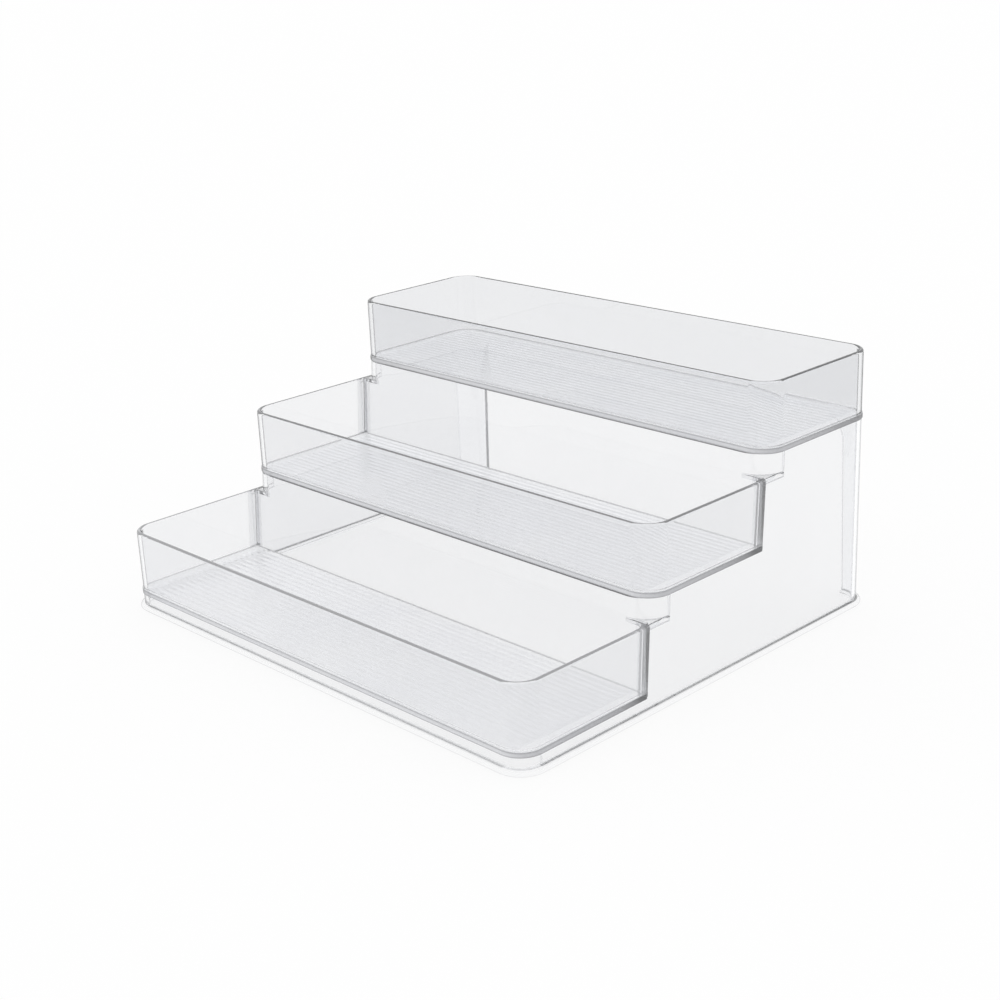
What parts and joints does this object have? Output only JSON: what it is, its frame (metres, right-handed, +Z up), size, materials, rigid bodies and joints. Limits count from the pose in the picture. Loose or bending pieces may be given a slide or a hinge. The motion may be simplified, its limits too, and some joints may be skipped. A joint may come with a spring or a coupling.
{
  "type": "tiered organizer",
  "caption": "Clear stepped organizer with ribbed tray floors, low rounded rails and a hollow body that is open at the back.",
  "frame": {"origin": "middle of the ground rectangle under the foot rim", "axes": "+X to the right seen from the front, +Y to the back, +Z up"},
  "size_m": [0.3048, 0.2648, 0.1388],
  "materials": {
    "clear_plastic": "clear and polished"
  },
  "bodies": {
    "root": {"base_rim": "clear_plastic", "front_skirt": "clear_plastic", "left_side": "clear_plastic", "right_side": "clear_plastic", "lower_riser": "clear_plastic", "upper_riser": "clear_plastic", "rear_frame": "clear_plastic", "lower_floor": "clear_plastic", "middle_floor": "clear_plastic", "top_floor": "clear_plastic", "lower_rail": "clear_plastic", "middle_rail": "clear_plastic", "top_rail": "clear_plastic", "lower_left_ledge": "clear_plastic", "lower_right_ledge": "clear_plastic", "middle_left_ledge": "clear_plastic", "middle_right_ledge": "clear_plastic"}
  },
  "joints": []
}
